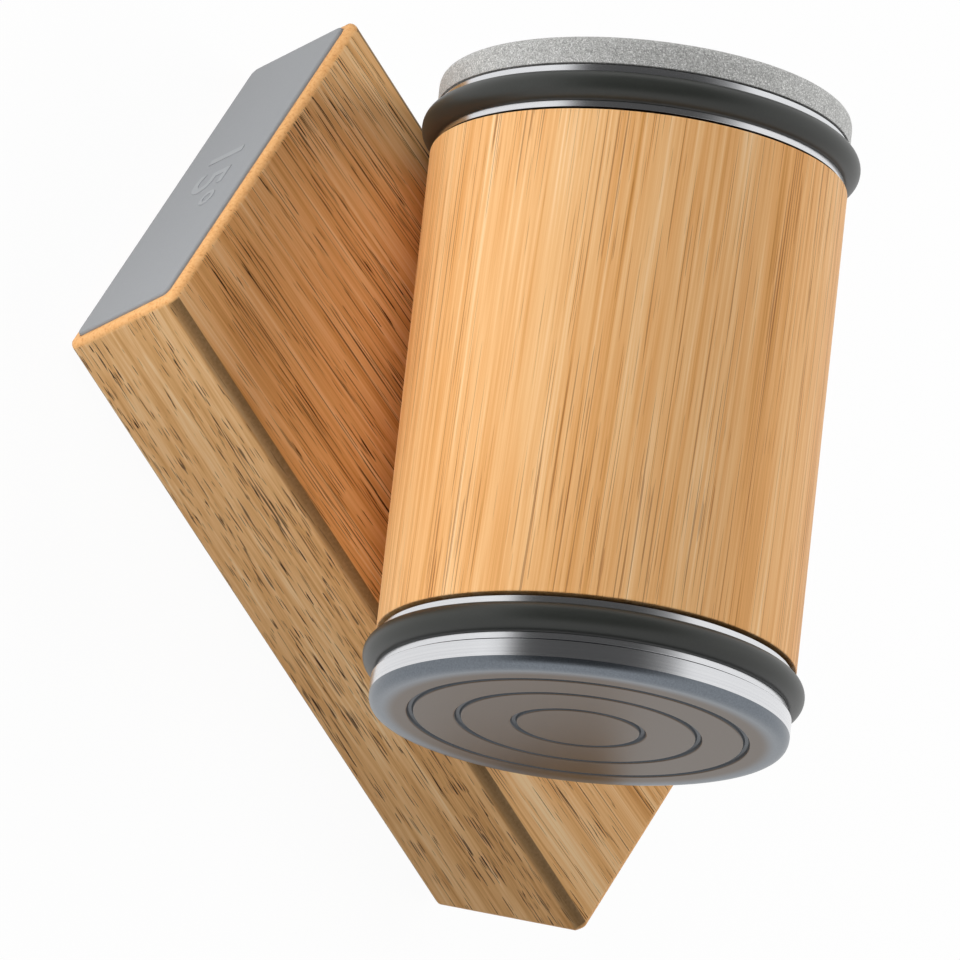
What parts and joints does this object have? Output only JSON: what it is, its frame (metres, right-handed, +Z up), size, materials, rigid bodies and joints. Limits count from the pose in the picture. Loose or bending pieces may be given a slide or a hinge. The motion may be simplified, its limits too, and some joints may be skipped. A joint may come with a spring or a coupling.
{
  "type": "rolling knife sharpener",
  "caption": "Rolling knife sharpener: an oak roller with a honing disc and a diamond disc, lying on an oak block with magnetic slanted ends.",
  "frame": {"origin": "on the table under the foot pad, below the middle of the block's long top face", "axes": "+X along the block from its 15 degree end to its 20 degree end, +Z up, so +Y runs across the block"},
  "size_m": [0.12, 0.1075, 0.0851],
  "materials": {
    "block_oak": "oiled, open pores",
    "sleeve_oak": "oiled, straight grain",
    "end_pad": "matt grey silicone",
    "foot": "matt",
    "tyre_rubber": "satin moulded",
    "black_plastic": "matt",
    "hub_metal": "polished",
    "honing_steel": "satin face, polished rim",
    "bearing_steel": "ground",
    "plain_steel": "turned",
    "nickel": "nickel plated",
    "diamond_coat": "fine diamond grit"
  },
  "bodies": {
    "block": {"block_body": "block_oak", "foot_pad": "foot", "pad_15": "end_pad", "magnet_tray_15": "black_plastic", "keeper_plate_15": "plain_steel", "magnet_15_1": "nickel", "magnet_15_2": "nickel", "magnet_15_3": "nickel", "pad_20": "end_pad", "magnet_tray_20": "black_plastic", "keeper_plate_20": "plain_steel", "magnet_20_1": "nickel", "magnet_20_2": "nickel", "magnet_20_3": "nickel"},
    "handle": {"sleeve": "sleeve_oak", "bearing_carrier_diamond": "black_plastic", "carrier_screw_diamond_1": "plain_steel", "carrier_screw_diamond_2": "plain_steel", "carrier_screw_diamond_3": "plain_steel", "outer_race_diamond": "bearing_steel", "retaining_ring_diamond": "plain_steel", "bearing_carrier_honing": "black_plastic", "carrier_screw_honing_1": "plain_steel", "carrier_screw_honing_2": "plain_steel", "carrier_screw_honing_3": "plain_steel", "outer_race_honing": "bearing_steel", "retaining_ring_honing": "plain_steel"},
    "wheels": {"axle": "plain_steel", "axle_spacer": "plain_steel", "inner_race_diamond": "bearing_steel", "hub_diamond": "hub_metal", "tyre_diamond": "tyre_rubber", "ring_nut_diamond": "plain_steel", "inner_race_honing": "bearing_steel", "hub_honing": "hub_metal", "tyre_honing": "tyre_rubber", "ring_nut_honing": "plain_steel"},
    "diamond_balls": {"ball_set_diamond": "bearing_steel"},
    "honing_balls": {"ball_set_honing": "bearing_steel"},
    "diamond_stud": {"stud_diamond": "plain_steel"},
    "diamond_grinder": {"diamond_disc": "diamond_coat"},
    "honing_stud": {"stud_honing": "plain_steel"},
    "honing_grinder": {"honing_disc": "honing_steel"}
  },
  "joints": [
    {"name": "roller_lift", "type": "slide", "parent": "block", "child": "handle", "axis": [0, 0, 1], "range_m": [0, 0.08]},
    {"name": "wheel_spin", "type": "hinge", "parent": "handle", "child": "wheels", "pos_m": [-0.008, 0, 0.05432], "axis": [-0.5299, 0.848, 0], "continuous": true},
    {"name": "diamond_ball_spin", "type": "hinge", "parent": "handle", "child": "diamond_balls", "pos_m": [-0.02257, 0.02332, 0.05432], "axis": [-0.5299, 0.848, 0], "continuous": true},
    {"name": "honing_ball_spin", "type": "hinge", "parent": "handle", "child": "honing_balls", "pos_m": [0.00657, -0.02332, 0.05432], "axis": [-0.5299, 0.848, 0], "continuous": true},
    {"name": "diamond_disc_travel", "type": "slide", "parent": "wheels", "child": "diamond_stud", "axis": [-0.5299, 0.848, 0], "range_m": [0, 0.006]},
    {"name": "diamond_disc_unscrew", "type": "hinge", "parent": "diamond_stud", "child": "diamond_grinder", "pos_m": [-0.03015, 0.03545, 0.05432], "axis": [-0.5299, 0.848, 0], "range_deg": [0, 1440]},
    {"name": "honing_disc_travel", "type": "slide", "parent": "wheels", "child": "honing_stud", "axis": [0.5299, -0.848, 0], "range_m": [0, 0.006]},
    {"name": "honing_disc_unscrew", "type": "hinge", "parent": "honing_stud", "child": "honing_grinder", "pos_m": [0.01415, -0.03545, 0.05432], "axis": [0.5299, -0.848, 0], "range_deg": [0, 1440]}
  ],
  "couplings": [
    {"joint": "diamond_ball_spin", "follows": "wheel_spin", "ratio": 0.3987},
    {"joint": "honing_ball_spin", "follows": "wheel_spin", "ratio": 0.3987},
    {"joint": "diamond_disc_travel", "follows": "diamond_disc_unscrew", "m_per_rad": 0.00023873},
    {"joint": "honing_disc_travel", "follows": "honing_disc_unscrew", "m_per_rad": 0.00023873}
  ]
}
